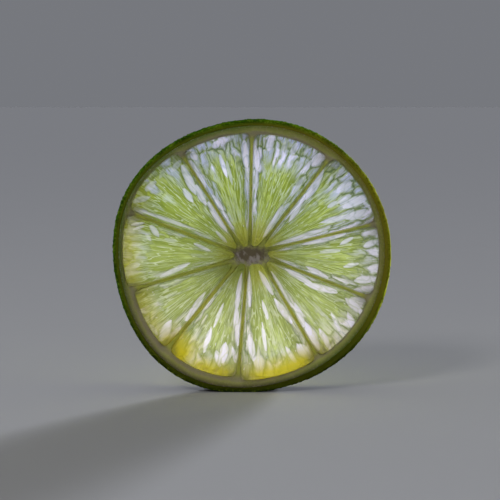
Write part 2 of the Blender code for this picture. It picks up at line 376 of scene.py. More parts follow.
# The plump sacs that stand out, clockwise from the top: both ends, in millimetres to the right of
# and above the core's middle, then width and brightness
plumpSacs = {
    "pulp_10": ((-10.8, 19.0, -9.7, 17.5, 1.7, 0.8), (-6.9, 19.7, -5.6, 21.0, 1.7, 0.9),
                (-9.3, 19.9, -8.2, 21.4, 0.9, 0.6), (-4.5, 20.8, -3.0, 22.3, 1.5, 0.6),
                (-5.6, 18.6, -4.1, 14.1, 1.1, 0.8), (-11.2, 17.5, -8.0, 12.3, 2.0, 0.75),
                (-6.9, 11.2, -4.7, 8.0, 1.1, 0.8), (-1.1, 21.2, -0.6, 15.6, 1.9, 0.9),
                (-0.7, 16.6, -0.4, 10.8, 1.1, 0.6), (-4.3, 17.5, -3.2, 12.8, 0.9, 0.4)),
    "pulp_01": ((0.9, 20.3, 1.3, 15.3, 1.7, 0.85), (1.3, 16.0, 1.1, 11.2, 1.1, 0.7),
                (3.3, 19.0, 4.1, 22.0, 1.9, 0.8), (5.6, 18.2, 6.9, 21.4, 1.5, 0.5),
                (7.6, 18.4, 8.7, 20.7, 1.7, 0.6), (9.9, 18.2, 10.6, 20.1, 1.1, 0.5),
                (11.3, 16.4, 13.0, 18.8, 1.9, 0.85), (10.0, 15.3, 11.2, 17.5, 1.1, 0.7),
                (9.9, 14.5, 7.4, 10.6, 1.3, 0.55), (6.1, 9.3, 2.2, 3.0, 1.1, 0.6),
                (2.2, 17.5, 2.8, 13.8, 0.9, 0.4)),
    "pulp_02": ((13.4, 16.0, 10.2, 10.0, 2.2, 0.75), (9.7, 10.4, 7.1, 6.0, 1.5, 0.6),
                (15.6, 14.1, 17.7, 16.7, 1.3, 0.5), (15.8, 11.5, 18.6, 13.6, 2.2, 0.65),
                (16.4, 9.3, 18.6, 11.2, 1.5, 0.6), (16.9, 8.7, 21.6, 11.0, 2.4, 0.7),
                (17.5, 6.7, 21.8, 8.2, 2.2, 0.7), (12.7, 6.0, 18.6, 7.3, 1.5, 0.6),
                (4.1, 1.7, 14.9, 5.2, 1.1, 0.6), (20.7, 10.0, 22.1, 8.7, 1.1, 0.7),
                (14.1, 8.7, 16.0, 10.0, 1.1, 0.5)),
    "pulp_03": ((9.3, 1.9, 17.7, 4.1, 1.7, 0.75), (16.4, 1.9, 19.0, 3.3, 1.1, 0.6),
                (12.7, 0.6, 16.7, 0.9, 1.1, 0.4), (20.8, 1.5, 23.3, 2.6, 1.7, 0.7),
                (21.6, -2.6, 23.8, -1.7, 1.3, 0.7), (17.1, -2.2, 20.1, -1.5, 1.1, 0.5),
                (19.0, -4.7, 23.4, -4.3, 2.0, 0.75), (17.9, -6.1, 19.3, -7.4, 1.3, 0.5),
                (18.6, -6.7, 22.9, -6.1, 1.7, 0.8), (10.2, -2.0, 14.5, -4.3, 1.3, 0.7),
                (5.0, -0.7, 9.3, -2.2, 0.7, 0.4)),
    "pulp_04": ((6.3, -2.4, 11.5, -5.4, 1.5, 0.75), (9.9, -5.2, 16.2, -6.9, 1.7, 0.8),
                (3.7, -2.6, 7.8, -9.7, 1.1, 0.6), (8.2, -8.6, 10.0, -13.4, 1.7, 0.6),
                (10.2, -12.3, 12.7, -17.9, 2.4, 1.0), (12.7, -13.4, 14.9, -17.5, 1.5, 0.7),
                (17.5, -7.8, 20.8, -10.8, 1.9, 0.7), (18.0, -10.4, 19.5, -14.1, 1.7, 0.75),
                (19.0, -7.8, 22.0, -8.6, 1.1, 0.6), (14.9, -10.4, 16.7, -14.1, 1.1, 0.4)),
    "pulp_05": ((-0.2, -2.6, 0.0, -9.7, 1.1, 0.85), (1.5, -2.6, 4.3, -7.4, 1.3, 0.7),
                (4.3, -7.8, 7.8, -12.7, 1.7, 0.85), (3.7, -4.1, 6.0, -7.8, 0.7, 0.5),
                (8.6, -16.4, 11.2, -19.2, 2.6, 1.0), (-0.2, -14.5, 0.7, -19.7, 1.7, 0.6),
                (2.2, -12.3, 3.0, -17.9, 0.9, 0.35), (6.5, -16.9, 8.6, -20.1, 1.3, 0.6),
                (2.2, -8.2, 3.3, -11.9, 0.9, 0.45)),
    "pulp_06": ((-1.5, -3.0, -2.6, -10.4, 1.3, 0.85), (-2.6, -8.6, -2.2, -16.9, 1.5, 0.65),
                (-4.5, -16.0, -5.2, -20.1, 2.0, 0.8), (-6.3, -17.5, -5.6, -20.8, 1.5, 0.6),
                (-7.1, -13.2, -8.6, -18.2, 1.3, 0.5), (-3.3, -16.9, -2.6, -20.1, 1.1, 0.6),
                (-4.8, -8.6, -6.7, -13.4, 0.9, 0.4)),
    "pulp_07": ((-8.2, -6.7, -11.9, -12.3, 1.5, 0.7), (-14.5, -11.9, -16.7, -16.0, 2.2, 0.8),
                (-12.7, -13.0, -15.3, -17.1, 1.9, 0.8), (-5.6, -5.2, -8.2, -8.6, 0.9, 0.5),
                (-18.6, -12.7, -17.1, -14.9, 1.3, 0.4)),
    "pulp_08": ((-16.7, -4.1, -10.8, -1.3, 1.3, 0.75), (-22.0, 5.6, -19.3, 6.0, 0.9, 0.9),
                (-21.6, 4.8, -19.3, 5.4, 0.7, 0.8), (-18.4, 5.6, -16.7, 3.3, 1.5, 0.7),
                (-23.1, -2.6, -20.1, -1.5, 1.7, 0.5), (-10.4, 2.2, -7.1, 0.7, 0.9, 0.75),
                (-19.3, 4.1, -18.2, 2.6, 0.9, 0.5), (-15.8, 3.0, -13.4, 2.6, 0.9, 0.35),
                (-14.9, -5.2, -11.2, -3.3, 0.7, 0.4)),
    "pulp_09": ((-12.5, 16.7, -9.9, 11.0, 2.0, 0.8), (-12.3, 12.3, -10.4, 9.7, 1.5, 0.7),
                (-10.0, 13.0, -8.0, 9.1, 1.7, 0.8), (-7.8, 9.9, -4.1, 4.1, 1.7, 0.85),
                (-6.3, 4.5, -4.1, 2.2, 0.9, 0.6), (-21.6, 9.9, -18.2, 10.8, 1.5, 0.6),
                (-19.3, 11.9, -17.1, 13.8, 1.7, 0.55), (-20.5, 8.4, -9.3, 4.5, 0.9, 0.6),
                (-14.5, 15.3, -12.7, 17.5, 1.5, 0.55), (-16.7, 14.1, -15.3, 16.4, 1.3, 0.35)),
}

# Share of pale sacs in the wedges that differ from the rest
paleness = {"pulp_10": 1.3, "pulp_01": 1.2, "pulp_04": 0.9, "pulp_06": 0.85, "pulp_07": 0.6,
            "pulp_08": 0.38, "pulp_09": 0.52}

# Where the juice is riper: direction from the core, half width of the zone in degrees, how far it
# reaches in from the peel in millimetres, strength
ripeZones = ((-74, 22, 2.9, 0.95), (-128, 9, 4.0, 1.0), (-108, 12, 2.3, 0.9), (-148, 20, 2.8, 0.4),
             (192, 36, 2.8, 0.4))


def juiceMaterial(look):
    made, net = newMaterial("juice")

    def stored(name, out="Fac"):
        return net.node("ShaderNodeAttribute", {"attribute_name": name}, out=out)

    across, along, side = net.parts(stored("fan", "Vector"))

    def grain(acrossScale, alongScale, shift=0.0, detail=2.0):
        # noise drawn out along the sacs, not the same on the two cut faces
        return net.noise(net.point(across * acrossScale, along * alongScale, side + shift), 1.0, detail)

    place = stored("sacPlace", "Vector")
    aside, fromRim, fromCore = stored("aside"), stored("fromRim"), stored("fromCore")
    bead, glow, ripe, paintedWarmLight = stored("bead"), stored("glow"), stored("ripe"), stored("paintedWarmLight")
    milky, paintedCoreShade = stored("milky"), stored("paintedCoreShade")
    gap = net.cells(place, "DISTANCE_TO_EDGE", "Distance")
    lot, otherLot, _ = net.parts(net.cells(place, "F1", "Color"))
    thread = grain(4.2, 0.38, detail=3.0)
    strand = grain(1.6, 0.2, 4.0)
    # sacs are paler near the membranes and near the peel, and greener half way between
    ragged = (strand - 0.5) * 9.0 + (thread - 0.5) * 7.0
    nearRim = 1 - net.smooth(fromRim + ragged, -0.5, look["paleDepth"])
    nearSide = net.smooth(aside + ragged * 0.06, 0.35, 1.05) * 0.85
    offCore = net.smooth(fromCore, 3.0, 7.0)
    zone = net.most(nearRim, nearSide) * offCore * milky
    inZone = net.smooth(zone, 0.3, 0.8)
    # painted glow: the plump sacs and some of the fine ones are painted bright, like light shining through
    # them, and brighter low down; painted glints too
    milkyShare = 0.5 + net.smooth(milky, 0.2, 0.9) * 0.5
    paintedGlowShare = bead + (thread - 0.5) * 0.9 + (lot - 0.5) * 0.5 + net.smooth(gap, 0.0, 0.2) * 0.5
    paintedGlowShare = net.smooth(paintedGlowShare, 0.35, 1.5) * net.smooth(bead, 0.0, 0.6)
    paintedGlowShare = paintedGlowShare * glow ** (2.3 - paintedWarmLight * 1.7) * milkyShare
    # painted glints on the wet sacs
    paintedGlint = net.smooth(grain(2.6, 1.1, detail=1.0), 0.66, 0.76) * zone * 0.6
    fineSacs = net.smooth(gap, 0.08, 0.34) * net.smooth(lot, 0.5, 0.75) * net.smooth(zone, 0.45, 0.85)
    paintedGlowShare = net.most(paintedGlowShare, net.most(paintedGlint, fineSacs * 0.65)) * (1 - ripe * 0.4)
    plump = net.smooth(bead + (thread - 0.5) * 0.7 + (strand - 0.5) * 0.3, 0.1, 0.75)
    plump = plump * net.smooth(bead, 0.0, 0.2) * glow * milkyShare
    # threads run along the sacs, pale over the green and dark over the pale sacs
    web = grain(1.4, 0.17, 7.0, 1.5) - 0.5
    vein = 1 - net.smooth(web * web, 0.0, 0.0009)
    # how pale the sacs are, and how pale the green between them is
    paleShare = zone * 0.8 + (lot - 0.5) * 0.6 + (strand - 0.5) * 0.7 + (thread - 0.5) * 0.4
    paleShare = net.smooth(paleShare, 0.08, 0.95) * (0.25 + net.smooth(gap, 0.0, 0.3) * 0.75)
    paleShare = net.most(paleShare * net.smooth(thread, 0.25, 0.55), net.most(paintedGlowShare, plump * 0.9))
    # painted shade beside the core: the sacs there are painted less pale and less green
    paleShare = paleShare * (1 - ripe * 0.5) * (1 - paintedCoreShade * 0.8)
    paleShare = net.most(paleShare, vein * (1 - inZone) * offCore * 0.25)
    greenShare = net.smooth(thread * 0.6 + strand * 0.4 + (otherLot - 0.5) * 0.2, 0.44, 0.62)
    patch = grain(0.5, 0.25, 11.0) + (milky - 0.8) * 0.3
    greenShare = greenShare * (0.2 + net.smooth(patch, 0.36, 0.6) * 0.8)
    greenShare = net.most(greenShare, vein * 0.9) * (1 - paintedCoreShade * 0.7)
    # thin dark borders round the sacs, and fine walls across the pale ones
    ring = net.smooth(bead, 0.0, 0.14) * (1 - net.smooth(bead, 0.28, 0.5)) * net.smooth(glow, 0.3, 0.8)
    line = (1 - net.smooth(gap, 0.0, 0.15)) * net.smooth(zone, 0.15, 0.7) * (1 - plump * 0.85)
    line = net.most(line, ring * 0.8) * net.smooth(strand, 0.34, 0.5)
    line = net.most(line * (1 - paintedWarmLight * 0.35), (1 - net.smooth(thread, 0.3, 0.42)) * 0.5)
    line = net.most(line, vein * inZone * (1 - plump * 0.6) * 0.35)
    wander = (grain(0.9, 0.5, 15.0) - 0.5) * 1.6
    wallPlace = net.point(across * 0.85 + wander, along * 0.5 - wander, side)
    wall = 1 - net.smooth(net.cells(wallPlace, "DISTANCE_TO_EDGE", "Distance"), 0.01, 0.07)
    wall = wall * net.smooth(zone, 0.4, 0.8) * (1 - plump * 0.5)
    line = net.most(line, wall * 0.5) * (1 - ripe * 0.7)
    # the colours of the surface
    green = net.blend(greenShare, colour(look["greenDeep"]), colour(look["greenPale"]))
    # painted warm light: the pale sacs are painted warmer low down
    pale = net.blend(paintedWarmLight, colour(look["pale"]), colour(look["palePaintedWarm"]))
    base = net.blend(paleShare, green, pale)
    base = net.blend(paintedGlowShare, base, colour(look["paintedGlow"]))
    base = net.blend(ripe * 0.9, base, colour(look["amber"]))
    base = net.blend(line, base, colour(look["outline"]))
    corner = net.smooth(aside - fromRim * 0.12 + (strand - 0.5) * 0.5, 0.55, 0.9)
    base = net.blend(corner * 0.6, base, colour(look["corner"]))
    bump = net.node("ShaderNodeBump", values={"Height": thread, "Strength": 0.3,
                                              "Distance": look["streakRelief"]})
    skin = net.node("ShaderNodeBsdfPrincipled", values={
        "Base Color": base, "Roughness": 0.22, "Normal": bump, "Coat Weight": 0.3, "Coat Roughness": 0.08})
    # the colours of the light that comes through
    through = net.node("ShaderNodeBsdfTranslucent", values={"Color": colour(look["lightDeep"])})
    back = net.smooth(side, -0.9, 0.9)
    paintedWarmShare = paintedWarmLight * (paleShare * 0.75 + 0.18)
    amberShare = net.most(ripe, (0.45 - net.smooth(fromCore, 2.5, 8.0) * 0.45) * (1 - paintedCoreShade * 0.7))
    tints = ((greenShare, "lightGreen"), (paleShare, "lightCool"), (paintedWarmShare, "lightWarm"),
             (paintedGlowShare, "lightBright"), (amberShare, "lightAmber"), (back, "lightBack"))
    for share, code in tints:
        tint = net.node("ShaderNodeBsdfTranslucent", values={"Color": colour(look[code])})
        through = net.node("ShaderNodeMixShader", values={0: share, 1: through, 2: tint})
    # less comes through near the borders of the wedge and through the dark lines
    edge = 1 - net.smooth(stored("inside") / mm + (thread - 0.5) * 0.6, 0.05, 0.6)
    nearCore = 1 - net.smooth(fromCore, 4.0, 10.0)
    fringe = 1 - net.smooth(fromRim + (thread - 0.5) * 1.6, 0.1, look["fringeDepth"])
    fringe = fringe * (1.5 - milky) * 0.45 * (1 - ripe * 0.6)
    edge = net.most(edge * (0.4 - nearCore * 0.3), net.most(corner * 0.65, fringe))
    share = look["clear"] - back * (look["clear"] - look["clearBack"])
    share = share + net.most(paintedGlowShare, nearCore) * 0.14
    share = share * (1 - net.most(line * 0.7, edge)) * (1 - paintedCoreShade * 0.3)
    finishMaterial(net, net.node("ShaderNodeMixShader", values={0: share, 1: skin, 2: through}))
    return made


def sacTree(look, surface):
    sizes = {"Sac Relief": look["sacRelief"], "Plump Relief": look["plumpRelief"], "Seed": look["seed"],
             "Sac Width": look["sacWidth"], "Warp": look["warp"]}
    tree, net, (geometry, sacRelief, plumpRelief, seed, sacWidth, warp) = newTree("raiseSacs", sizes)

    def stored(name, kind="FLOAT"):
        return net.node("GeometryNodeInputNamedAttribute", {"data_type": kind}, {"Name": name}, "Attribute")

    across, along, side = net.parts(stored("fan", "FLOAT_VECTOR"))
    wander = net.noise(net.point(across * 0.6, along * 0.35, side), 1.0, 2.0) - 0.5
    drift = net.noise(net.point(across * 0.5, along * 0.5, side + 9.0), 1.0, 1.0) - 0.5
    place = net.point(across / sacWidth + side * 3.7 + seed + wander * 4.0 * warp,
                      stored("row") + drift * 3.0 * warp)
    gap = net.cells(place, "DISTANCE_TO_EDGE", "Distance")
    lot, _, _ = net.parts(net.cells(place, "F1", "Color"))
    dome = net.smooth(gap, 0.0, 0.34) ** 0.7 * (0.5 + lot * 0.5) * sacRelief
    bead = net.most(stored("bead"), 0.0) ** 0.8 * stored("glow") * plumpRelief
    height = net.most(dome, bead) * net.smooth(stored("inside"), 0.0, 0.5 * mm)
    kept = net.node("GeometryNodeStoreNamedAttribute", {"data_type": "FLOAT_VECTOR", "domain": "POINT"},
                    {"Geometry": geometry, "Name": "sacPlace", "Value": place})
    offset = net.point(0.0, height * side, 0.0)
    raised = net.node("GeometryNodeSetPosition", values={"Geometry": kept, "Offset": offset})
    closeTree(net, raised, surface)
    return tree, sizes


def plumpness(flat, sacs):
    # the domes of the plump sacs, round at the end near the peel and pointed at the end near the
    # core, and the brightness of the sac that each point is in
    dome, glows = np.zeros(len(flat)), np.zeros(len(flat))
    for x1, y1, x2, y2, width, glow in sacs:
        ends = sorted((Vector((x1, y1)), Vector((x2, y2))), key=lambda end: end.length)
        inner, outer = [np.array(core + end * mm) for end in ends]
        half = (outer - inner) / 2
        length = np.linalg.norm(half)
        way = half / length
        away = flat - (inner + outer) / 2
        ahead = np.clip(away @ way / max(length, width * mm / 2), -1, 1)
        spread = (1 - ahead ** 2) ** (0.7 - 0.35 * ahead) * width * mm / 2
        beside = away @ np.array((-way[1], way[0])) / np.maximum(spread, 1e-6)
        rise = np.clip(1 - beside ** 2, 0, 1)
        glows = np.where(rise > dome, glow, glows)
        dome = np.maximum(dome, rise)
    return dome, glows


def ripeness(flat, fromRim):
    away = flat - np.array(core)
    bearing = np.degrees(np.arctan2(away[:, 1], away[:, 0]))
    result = np.zeros(len(flat))
    for angle, half, reach, strength in ripeZones:
        off = np.abs((bearing - angle + 180) % 360 - 180)
        nearby = np.clip(1.5 - off / half, 0, 1) * np.clip(1.4 - fromRim / reach, 0, 1)
        result = np.maximum(result, nearby * strength)
    return result


def pulpMesh(node, look):
    outline = widened(wedges[node], look["joint"])
    loop = spaced(outline, look["step"])
    low, high = np.min(loop, axis=0), np.max(loop, axis=0)
    inner = scattered(low, high, look["step"], 0.2, look["seed"])
    inner = inner[depthInside(inner, outline) > look["step"] * 0.6]
    flat, faces = filled([loop], inner)
    depth = np.full(len(flat), look["borderDepth"])
    mesh = slab(node, [loop], flat, faces, -depth, depth)
    apex, axis, halfAngle = fanOf(wedges[node])
    away = flat - apex
    reach = np.linalg.norm(away, axis=1)
    turn = np.arctan2(axis[0] * away[:, 1] - axis[1] * away[:, 0], away @ axis)
    out, limit = edgesOf(outline)
    facing = (away / reach[:, None]) @ out.T
    exits = np.where(facing > 1e-6, (limit - apex @ out.T) / np.maximum(facing, 1e-6), 1.0)
    fromRim = (exits.min(axis=1) - reach) / mm
    row = -(fromRim + look["rimCrowding"] * (1 - np.exp(-fromRim / look["rimDepth"]))) / look["sacLength"]
    side = np.repeat((-1.0, 1.0), len(flat))
    # each wedge, and each of its two faces, gets a part of the pattern of its own
    number = pulpNodes.index(node)
    across = np.tile(turn * look["fanRadius"], 2) + number * 40.0
    keep(mesh, "fan", np.stack((across, np.tile(reach / mm, 2), side), axis=1), "FLOAT_VECTOR")
    keep(mesh, "row", np.tile(row, 2) + side * 5.3 + number * 7.1)
    keep(mesh, "inside", np.tile(depthInside(flat, outline), 2))
    keep(mesh, "aside", np.tile(np.abs(turn) / halfAngle, 2))
    dome, glows = plumpness(flat, plumpSacs[node])
    keep(mesh, "bead", np.tile(dome, 2))
    keep(mesh, "glow", np.tile(glows, 2))
    keep(mesh, "fromRim", np.tile(fromRim, 2))
    fromCore = (flat - np.array(core)) / mm
    keep(mesh, "fromCore", np.tile(np.linalg.norm(fromCore, axis=1), 2))
    # painted shade: the juice is darker on the shaded side of the core; painted light: it is paler and
    # warmer in colour low down
    paintedShadeAway = np.linalg.norm(fromCore - np.array(look["paintedShadePlace"]), axis=1)
    keep(mesh, "paintedCoreShade", np.tile(np.exp(-(paintedShadeAway / look["paintedShadeReach"]) ** 2), 2))
    keep(mesh, "paintedWarmLight", np.tile(np.clip(0.45 - fromCore[:, 1] / look["paintedWarmHeight"], 0, 1), 2))
    keep(mesh, "ripe", np.tile(ripeness(flat, fromRim), 2))
    keep(mesh, "milky", np.full(len(flat) * 2, paleness.get(node, 1.0)))
    return mesh


juice = juiceMaterial(pulpLook)
sacs, sacSizes = sacTree(pulpLook, juice)
for node in pulpNodes:
    grown(node.replace("pulp", "juiceSacs"), pulpMesh(node, pulpLook), sacs, sacSizes, "pulp", node)
print("pulp done:", len(pulpNodes), "wedges")


# Peel: the rind's green skin round the slice

rindLook = {
    "aroundSteps": 960,
    "sideSteps": 36,               # across the outer skin, from one cut face to the other
    "edgeSteps": 3,
    "cutSteps": 5,
    "wallSteps": 3,
    "glandSpacing": 0.95 * mm,     # of the oil glands in the skin
    "pitDepth": 0.11 * mm,
    "lumpRelief": 0.09 * mm,
    "skinDark": "1d3a06",
    "skin": "4a7c0c",
    "skinLight": "7d981a",
    "gland": "9db03a",
    "cutInner": "6f7620",          # next to the pith
    # painted light on the cut next to the pith, to the right
    "paintedCutGold": "94882c",
    "paintedGold": "aca420",              # painted light, yellower to the right where the back light falls
    # painted highlight along the edge on the right
    "paintedEdgeHighlight": "e0d048",
    "paintedShade": "1a1e05",             # painted shade, low down
    "lightThrough": "c2cc30",
    "clear": 0.35,                 # share of the light that comes through where the peel is thickest
}


def ringRadius(node, depth, inner=False):
    # the radius at any angle of the ring of corners at that depth
    points = nodePoints(node)
    points = points[np.abs(points[:, 1] - depth) < 0.02 * mm]
    away = points[:, [0, 2]] - np.array(core)
    angle = np.degrees(np.arctan2(away[:, 1], away[:, 0])) % 360
    radius = np.linalg.norm(away, axis=1)
    order = np.argsort(-radius if inner else radius)
    step = 3                           # degrees
    best = {round(angle[number] / step) % (360 // step): (angle[number], radius[number])
            for number in order}
    where, reach = np.array(sorted(best.values())).T
    # a step with no corner of the outer ring has only one of the inner ring
    nearby = np.max([np.roll(reach, shift) for shift in range(-3, 4)], axis=0)
    good = (reach > nearby * 0.98) | inner
    return lambda angles: np.interp(angles, where[good], reach[good], period=360)


def rindMesh(look):
    angles = np.arange(look["aroundSteps"]) * 360 / look["aroundSteps"]
    half = boxHigh.y
    depths = sorted({round(float(y), 5) for y in nodePoints("rind")[:, 1]})
    frontEdge, backEdge = depths[1], depths[-2]
    outer = {y: ringRadius("rind", y)(angles) for y in (-half, frontEdge, 0.0, backEdge, half)}
    inner = {y: ringRadius("rind", y, True)(angles) for y in (-half, half)}
    section = []
    for share in np.arange(look["cutSteps"]) / look["cutSteps"]:
        section.append((inner[-half] + (outer[-half] - inner[-half]) * share, -half, 0))
    for share in np.arange(look["edgeSteps"]) / look["edgeSteps"]:
        turn = share * math.pi / 2
        radius = outer[-half] + (outer[frontEdge] - outer[-half]) * math.sin(turn)
        section.append((radius, -half + (frontEdge + half) * (1 - math.cos(turn)), share))
    bulge = outer[0.0] - (outer[frontEdge] + outer[backEdge]) / 2
    for share in np.arange(look["sideSteps"]) / look["sideSteps"]:
        straight = outer[frontEdge] + (outer[backEdge] - outer[frontEdge]) * share
        radius = straight + bulge * 4 * share * (1 - share)
        section.append((radius, frontEdge + (backEdge - frontEdge) * share, 1))
    for share in np.arange(look["edgeSteps"]) / look["edgeSteps"]:
        turn = share * math.pi / 2
        radius = outer[half] + (outer[backEdge] - outer[half]) * math.cos(turn)
        section.append((radius, backEdge + (half - backEdge) * math.sin(turn), 1 - share))
    for share in np.arange(look["cutSteps"]) / look["cutSteps"]:
        section.append((outer[half] + (inner[half] - outer[half]) * share, half, 0))
    for share in np.arange(look["wallSteps"]) / look["wallSteps"]:
        section.append((inner[half] + (inner[-half] - inner[half]) * share, half - 2 * half * share, 0))
    turns = np.radians(angles)
    corners = [np.stack((core.x + radius * np.cos(turns), np.full(len(angles), depth),
                         np.maximum(core.y + radius * np.sin(turns), 0)), axis=1)
               for radius, depth, _ in section]
    skin = np.repeat([share for _, _, share in section], len(angles))
    count = len(angles)
    # these faces point inwards, so the pits that peelTree makes stand out as bumps
    faces = []
    for row in range(len(section)):
        below = (row + 1) % len(section) * count
        for number in range(count):
            after = (number + 1) % count
            faces.append((row * count + number, row * count + after, below + after, below + number))
    mesh = bpy.data.meshes.new("rind")
    mesh.from_pydata(np.concatenate(corners).tolist(), [], faces)
    surface = np.tile(outer[0.0], len(section))
    radius = np.concatenate([radius for radius, _, _ in section])
    keep(mesh, "skin", skin)
    keep(mesh, "under", (surface - radius) / mm)
    return mesh


def rindMaterial(look):
    made, net = newMaterial("zest")
    position = net.node("ShaderNodeTexCoord", out="Object")
    place = net.scaled(position, 1 / look["glandSpacing"])
    skin = net.node("ShaderNodeAttribute", {"attribute_name": "skin"}, out="Fac")
    under = net.node("ShaderNodeAttribute", {"attribute_name": "under"}, out="Fac")
    pit = 1 - net.smooth(net.cells(place, "F1", "Distance", "3D", 0.8), 0.08, 0.36)
    mottle = net.noise(place, 0.45, 3.0)
    fine = net.noise(place, 5.0, 2.0)
    grit = net.noise(place, 2.2, 2.0)
    x, _, z = net.parts(position)
    right, low = (x - core.x) / sliceRadius, (core.y - z) / sliceRadius
    # the patches are softer on the outer skin than at its cut edge
    green = net.smooth(mottle, 0.32, 0.62)
    base = net.blend(green + (1 - green) * skin * 0.5, colour(look["skinDark"]), colour(look["skin"]))
    base = net.blend(net.smooth(mottle, 0.5, 0.75) * 0.7, base, colour(look["skinLight"]))
    # painted light: the peel is painted yellower towards the right
    paintedGold = net.smooth(right + mottle * 0.8, 0.5, 1.5) * (0.85 - skin * 0.55)
    base = net.blend(paintedGold, base, colour(look["paintedGold"]))
    # painted highlight: a gold glint painted along the outer edge on the right
    edge = (1 - net.smooth(under, 0.05, 0.6)) * (1 - skin * 0.65)
    base = net.blend(net.smooth(right + mottle * 0.4, 0.8, 1.2) * edge, base, colour(look["paintedEdgeHighlight"]))
    # painted shade: the peel is painted darker low down
    base = net.blend(net.smooth(low - right * 0.05, 0.15, 0.8) * 0.9, base, colour(look["paintedShade"]))
    cut = 1 - skin * 0.8
    base = net.blend((1 - net.smooth(grit, 0.4, 0.5)) * cut * 0.7, base, colour(look["skinDark"]))
    # the cut oil glands as lighter specks, partly painted glints
    glandSpecksAndGlints = net.smooth(grit, 0.54, 0.64) * cut * 0.6
    base = net.blend(net.most(pit * 0.4, glandSpecksAndGlints), base, colour(look["gland"]))
    # painted light: the cut next to the pith is painted yellower to the right
    paintedGoldShare = net.smooth(right - low * 0.6, 0.3, 0.95)
    inner = net.blend(paintedGoldShare, colour(look["cutInner"]), colour(look["paintedCutGold"]))
    # painted shade on the cut next to the pith, low down
    inner = net.blend(net.smooth(low, 0.4, 1.0) * 0.6, inner, colour(look["paintedShade"]))
    base = net.blend((1 - skin) * net.smooth(under, 0.35, 1.1), base, inner)
    bump = net.node("ShaderNodeBump", values={"Height": fine, "Strength": 0.3, "Distance": 0.04 * mm})
    surface = net.node("ShaderNodeBsdfPrincipled", values={
        "Base Color": base, "Roughness": 0.4 + fine * 0.25, "Normal": bump, "Specular IOR Level": 0.0})
    through = net.node("ShaderNodeBsdfTranslucent", values={"Color": colour(look["lightThrough"])})
    share = look["clear"] * net.smooth(under, 0.0, 0.8)
    finishMaterial(net, net.node("ShaderNodeMixShader", values={0: share, 1: surface, 2: through}))
    return made


def peelTree(look, surface):
    sizes = {"Gland Spacing": look["glandSpacing"], "Pit Depth": look["pitDepth"],
             "Lump Relief": look["lumpRelief"]}
    tree, net, (geometry, spacing, pitDepth, lumpRelief) = newTree("pitPeel", sizes)
    skin = net.node("GeometryNodeInputNamedAttribute", {"data_type": "FLOAT"}, {"Name": "skin"},
                    "Attribute")
    position = net.node("GeometryNodeInputPosition")
    place = net.scaled(position, 1 / spacing)
    pit = 1 - net.smooth(net.cells(place, "F1", "Distance", "3D", 0.8), 0.08, 0.36)
    lumps = net.noise(place, 0.45, 2.0) - 0.5
    height = (lumps * 2 * lumpRelief - pit * pitDepth) * skin
    offset = net.scaled(net.node("GeometryNodeInputNormal"), height)
    x, y, z = net.parts(net.node("ShaderNodeVectorMath", {"operation": "ADD"}, {0: position, 1: offset}))
    moved = net.node("GeometryNodeSetPosition", values={"Geometry": geometry,
                                                        "Position": net.point(x, y, net.most(z, 0.0))})
    closeTree(net, moved, surface)
    return tree, sizes


zest = rindMaterial(rindLook)
grown("zestPeel", rindMesh(rindLook), *peelTree(rindLook, zest), "zest", "rind")
print("peel done")


# Pith: the pale wheel with its membranes and the core

pithLook = {
    "reach": 0.33 * mm,            # the wheel is this much wider than its node, to meet the zest
    "step": 0.22 * mm,
    "depth": 2.96 * mm,
    "fibreRelief": 0.09 * mm,
    "seed": 11,
    "moss": "5e7410",              # next to the zest
    "mossRight": "86801e",
    "mossLow": "584c32",
    "olive": "84844c",
    "oliveLow": "80725e",
    "pale": "a0987a",
    "mauve": "988c84",
    "brown": "5a4836",
    "coreStreak": "b0a4b0",
    "coreOlive": "6e7c0c",
    "lightOlive": "eef0a4",
    "lightPale": "dfd5c4",
    "clear": 0.6,                  # share of the light that comes through
    "membraneClear": 0.95,
    "coreRadius": 3.6,             # millimetres
}


def pithMesh(look):
    half = abs(nodePoints("pith")[:, 1].min())
    angles = np.arange(0, 360, 0.5)
    front, back = [ringRadius("pith", side * half)(angles) + look["reach"] for side in (-1, 1)]
    turns = np.radians(angles)
    rim = [core + Vector((math.cos(turn), math.sin(turn))) * radius for turn, radius in zip(turns, front)]
    pockets = [widened(wedges[node], pulpLook["joint"] - 0.03 * mm) for node in pulpNodes]
    loops = [rim] + [spaced(pocket, look["step"]) for pocket in pockets]
    low, high = np.min(rim, axis=0), np.max(rim, axis=0)
    inner = scattered(low, high, look["step"], 0.2, look["seed"])
    away = inner - np.array(core)
    bearing = np.degrees(np.arctan2(away[:, 1], away[:, 0])) % 360
    margin = look["step"] * 0.6
    good = np.linalg.norm(away, axis=1) < np.interp(bearing, angles, front, period=360) - margin
    for pocket in pockets:
        good &= depthInside(inner, pocket) < -margin
    flat, faces = filled(loops, inner[good])
    middles = flat[np.array(faces)].mean(axis=1)
    hollow = np.zeros(len(faces), dtype=bool)
    for pocket in pockets:
        hollow |= depthInside(middles, pocket) > 0
    faces = [face for face, gone in zip(faces, hollow) if not gone]
    depth = np.full(len(flat), look["depth"])
    mesh = slab("pith", loops, flat, faces, -depth, depth)
    away = flat - np.array(core)
    bearing = np.degrees(np.arctan2(away[:, 1], away[:, 0])) % 360
    radius = np.linalg.norm(away, axis=1)
    # the back of the wheel is wider where the cut is oblique
    grow = np.interp(bearing, angles, back / front, period=360)
    share = np.clip((radius / np.interp(bearing, angles, front, period=360) - 0.95) / 0.05, 0, 1)
    wide = np.array(core) + away * (1 + (grow - 1) * share)[:, None]
    corners = np.concatenate((flat, wide))
    positions = np.stack((corners[:, 0], np.concatenate((-depth, depth)), corners[:, 1]), axis=1)
    mesh.vertices.foreach_set("co", positions.astype(np.float32).ravel())
    borders = np.min([-depthInside(flat, pocket) for pocket in pockets], axis=0)
    outward = np.interp(bearing, angles, front, period=360) - radius
    keep(mesh, "outward", np.tile(outward / mm, 2))
    keep(mesh, "border", np.tile(borders / mm, 2))
    keep(mesh, "side", np.repeat((-1.0, 1.0), len(flat)))
    return mesh


